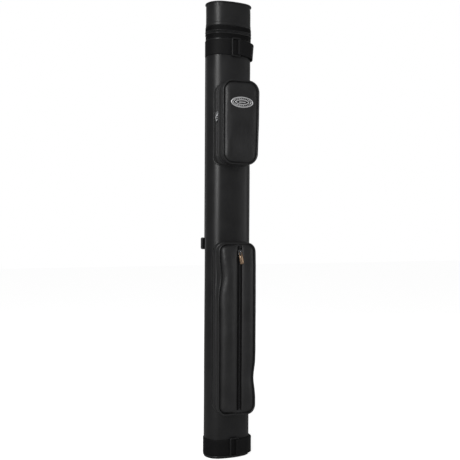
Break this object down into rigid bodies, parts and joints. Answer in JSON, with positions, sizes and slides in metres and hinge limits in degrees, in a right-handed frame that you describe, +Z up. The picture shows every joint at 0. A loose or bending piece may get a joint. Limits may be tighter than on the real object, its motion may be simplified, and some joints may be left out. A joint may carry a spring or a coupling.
{
  "type": "cue case",
  "caption": "Upright hard cue case with an oval section, hinged zip lid, zipped accessory pockets on the front and an adjustable webbing strap cinched round both ends.",
  "frame": {"origin": "centre of the oval section on the surface that the base stands on", "axes": "+Z up along the tube, -Y out of the broad face that carries the pockets, +X across that face"},
  "size_m": [0.0974, 0.1033, 0.86],
  "materials": {
    "leatherette": "fine-grained black leatherette, semi-gloss",
    "webbing": "black woven webbing",
    "binding": "black zip tape with a leatherette binding",
    "zip_coil": "black nylon zip coil",
    "hard_plastic": "black moulded plastic",
    "shell_plastic": "hard black tube",
    "foam": "closed-cell foam",
    "tube_lining": "flocked plastic tube",
    "pocket_lining": "thin woven lining",
    "badge_steel": "satin silver badge",
    "slider_steel": "nickel-plated slider",
    "dark_slider": "black painted slider",
    "pull_brass": "aged brass pull tag"
  },
  "bodies": {
    "case": {"base_cap": "hard_plastic", "base_pad": "foam", "base_piping": "leatherette", "tube_shell": "shell_plastic", "body_cover": "leatherette", "rim_binding": "binding", "butt_tube_left": "tube_lining", "butt_tube_right": "tube_lining", "shaft_tube_front": "tube_lining", "shaft_tube_rear": "tube_lining", "tube_spacer_low": "foam", "tube_spacer_high": "foam", "body_zip_tape": "binding", "body_zip_coil": "zip_coil", "body_hinge_leaf": "leatherette", "upper_pocket_flange": "leatherette", "upper_pocket_lining": "pocket_lining", "upper_pocket_gusset": "leatherette", "upper_pocket_coil": "zip_coil", "upper_pocket_hinge_leaf": "leatherette", "lower_pocket_flange": "leatherette", "lower_pocket_lining": "pocket_lining", "lower_pocket_gusset": "leatherette", "lower_panel_left": "leatherette", "lower_panel_right": "leatherette", "lower_pocket_piping": "leatherette", "lower_zip_tapes": "binding", "lower_zip_coil": "zip_coil", "lower_zip_stops": "slider_steel", "upper_band": "webbing", "upper_ring": "hard_plastic", "upper_band_tail": "webbing", "lower_band": "webbing", "lower_ring": "hard_plastic", "lower_band_tail": "webbing", "shoulder_strap": "webbing", "strap_return": "webbing"},
    "lid": {"lid_shell": "shell_plastic", "lid_cover": "leatherette", "lid_pad": "foam", "lid_piping": "leatherette", "lid_zip_tape": "binding", "lid_zip_coil": "zip_coil", "lid_hinge_leaf": "leatherette"},
    "lid_slider": {"lid_zip_slider": "dark_slider"},
    "lid_pull": {"lid_zip_pull": "dark_slider"},
    "pocket_door": {"upper_door_coil": "zip_coil", "upper_door_hinge_leaf": "leatherette", "upper_door_gusset": "leatherette", "upper_door_panel": "leatherette", "upper_door_piping": "leatherette", "badge": "badge_steel", "badge_pins": "badge_steel"},
    "upper_slider": {"upper_zip_slider": "slider_steel"},
    "upper_pull": {"upper_zip_pull": "slider_steel"},
    "lower_slider": {"lower_zip_slider": "slider_steel"},
    "lower_pull": {"lower_zip_pull": "pull_brass"},
    "strap_adjuster": {"strap_slider": "hard_plastic"}
  },
  "joints": [
    {"name": "lid_hinge", "type": "hinge", "parent": "case", "child": "lid", "pos_m": [0, 0.0292, 0.8025], "axis": [-1, 0, 0], "range_deg": [0, 125]},
    {"name": "lid_zip", "type": "hinge", "parent": "case", "child": "lid_slider", "pos_m": [0.01815, 0, 0.8025], "axis": [0, 0, 1], "range_deg": [-110, 0]},
    {"name": "lid_pull_swing", "type": "hinge", "parent": "lid_slider", "child": "lid_pull", "pos_m": [0.04264, 0.01715, 0.8016], "axis": [0.5736, -0.8192, 0], "range_deg": [0, 140]},
    {"name": "pocket_door_hinge", "type": "hinge", "parent": "case", "child": "pocket_door", "pos_m": [0.0005, -0.03475, 0.5517], "axis": [1, 0, 0], "range_deg": [0, 90]},
    {"name": "upper_zip", "type": "slide", "parent": "case", "child": "upper_slider", "axis": [0, 0, 1], "range_m": [-0.066, 0.034]},
    {"name": "upper_pull_swing", "type": "hinge", "parent": "upper_slider", "child": "upper_pull", "pos_m": [-0.0377, -0.03475, 0.6441], "axis": [0, 1, 0], "range_deg": [0, 140]},
    {"name": "lower_zip", "type": "slide", "parent": "case", "child": "lower_slider", "axis": [0, 0, 1], "range_m": [-0.283, 0]},
    {"name": "lower_pull_swing", "type": "hinge", "parent": "lower_slider", "child": "lower_pull", "pos_m": [0.005, -0.0518, 0.3871], "axis": [-0.9877, 0, -0.1564], "range_deg": [0, 140]},
    {"name": "strap_adjust", "type": "slide", "parent": "case", "child": "strap_adjuster", "axis": [0, 0, 1], "range_m": [0, 0.32]}
  ]
}
